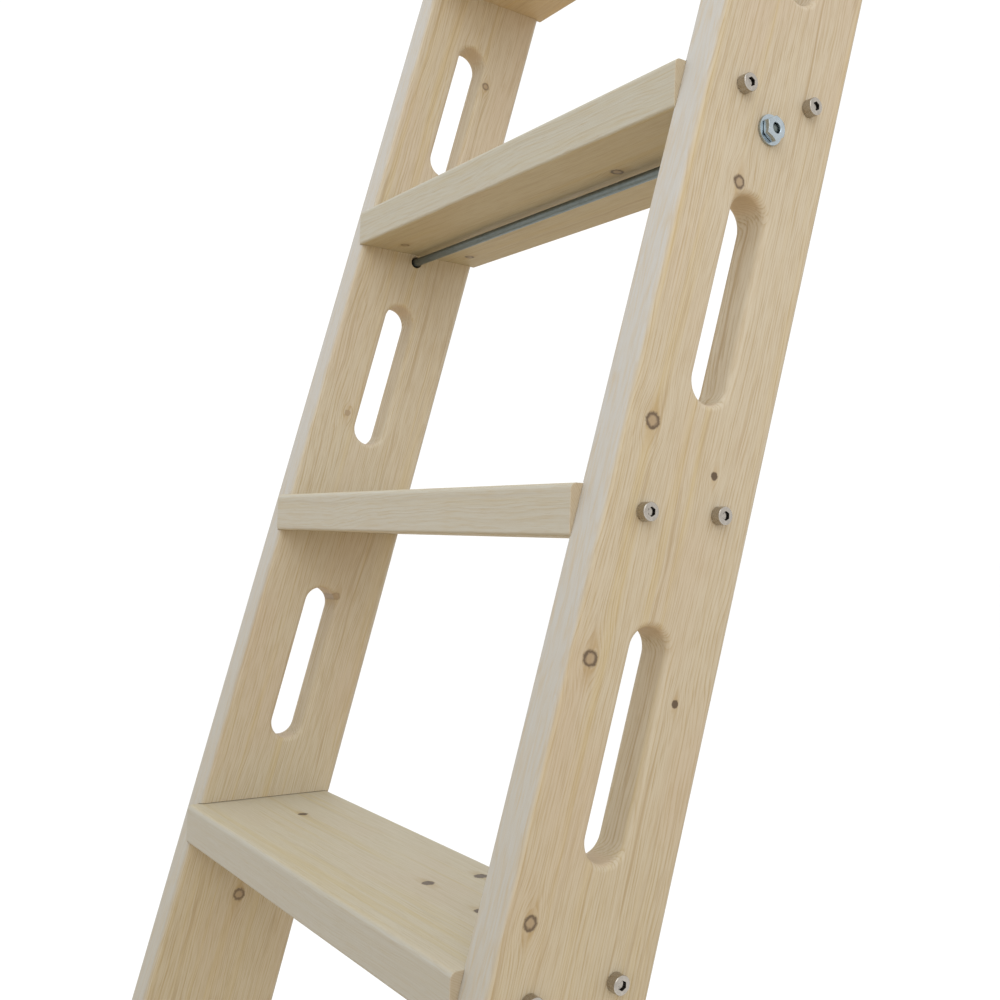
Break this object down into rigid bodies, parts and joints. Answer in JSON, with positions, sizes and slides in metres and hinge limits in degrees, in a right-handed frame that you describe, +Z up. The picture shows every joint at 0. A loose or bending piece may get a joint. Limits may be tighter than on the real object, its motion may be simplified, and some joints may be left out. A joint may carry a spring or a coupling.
{
  "type": "library ladder",
  "caption": "Leaning wooden library ladder: slotted stiles with hand grips, wide housed treads, tie rods, rubber feet and hooks over a rail.",
  "frame": {"origin": "middle of the ladder's bounding box at floor level, as it stands leaning", "axes": "+Z up, +X to the climber's right, +Y forward for the climber, the way the ladder leans; the front edges of the treads face -Y"},
  "size_m": [0.5756, 0.764, 2.312],
  "materials": {
    "stile_pine": "planed bare pine, pale, matt, fine straight grain with small knots",
    "tread_pine": "planed bare pine, pale, matt, grain along the tread",
    "stainless_steel": "stainless steel, smooth, semi-bright",
    "zinc_plated_steel": "bright zinc plating, slightly blue, semi-bright",
    "hook_steel": "black powder coat, satin",
    "foot_rubber": "black moulded rubber, matt"
  },
  "bodies": {
    "root": {"stile_left": "stile_pine", "stile_right": "stile_pine", "tread_1": "tread_pine", "tread_2": "tread_pine", "tread_3": "tread_pine", "tread_4": "tread_pine", "tread_5": "tread_pine", "tread_6": "tread_pine", "tread_7": "tread_pine", "cap_screw_1_left_front": "stainless_steel", "cap_screw_1_left_rear": "stainless_steel", "cap_screw_1_right_front": "stainless_steel", "cap_screw_1_right_rear": "stainless_steel", "cap_screw_2_left_front": "stainless_steel", "cap_screw_2_left_rear": "stainless_steel", "cap_screw_2_right_front": "stainless_steel", "cap_screw_2_right_rear": "stainless_steel", "cap_screw_3_left_front": "stainless_steel", "cap_screw_3_left_rear": "stainless_steel", "cap_screw_3_right_front": "stainless_steel", "cap_screw_3_right_rear": "stainless_steel", "cap_screw_4_left_front": "stainless_steel", "cap_screw_4_left_rear": "stainless_steel", "cap_screw_4_right_front": "stainless_steel", "cap_screw_4_right_rear": "stainless_steel", "cap_screw_5_left_front": "stainless_steel", "cap_screw_5_left_rear": "stainless_steel", "cap_screw_5_right_front": "stainless_steel", "cap_screw_5_right_rear": "stainless_steel", "cap_screw_6_left_front": "stainless_steel", "cap_screw_6_left_rear": "stainless_steel", "cap_screw_6_right_front": "stainless_steel", "cap_screw_6_right_rear": "stainless_steel", "cap_screw_7_left_front": "stainless_steel", "cap_screw_7_left_rear": "stainless_steel", "cap_screw_7_right_front": "stainless_steel", "cap_screw_7_right_rear": "stainless_steel", "tie_rod_lower": "zinc_plated_steel", "tie_rod_washer_lower_left": "zinc_plated_steel", "tie_rod_nut_lower_left": "zinc_plated_steel", "tie_rod_washer_lower_right": "zinc_plated_steel", "tie_rod_nut_lower_right": "zinc_plated_steel", "tie_rod_upper": "zinc_plated_steel", "tie_rod_washer_upper_left": "zinc_plated_steel", "tie_rod_nut_upper_left": "zinc_plated_steel", "tie_rod_washer_upper_right": "zinc_plated_steel", "tie_rod_nut_upper_right": "zinc_plated_steel", "foot_pad_left": "foot_rubber", "foot_screw_left_front": "stainless_steel", "foot_screw_left_rear": "stainless_steel", "rail_hook_left": "hook_steel", "hook_screw_left_lower": "stainless_steel", "hook_screw_left_upper": "stainless_steel", "foot_pad_right": "foot_rubber", "foot_screw_right_front": "stainless_steel", "foot_screw_right_rear": "stainless_steel", "rail_hook_right": "hook_steel", "hook_screw_right_lower": "stainless_steel", "hook_screw_right_upper": "stainless_steel"}
  },
  "joints": []
}
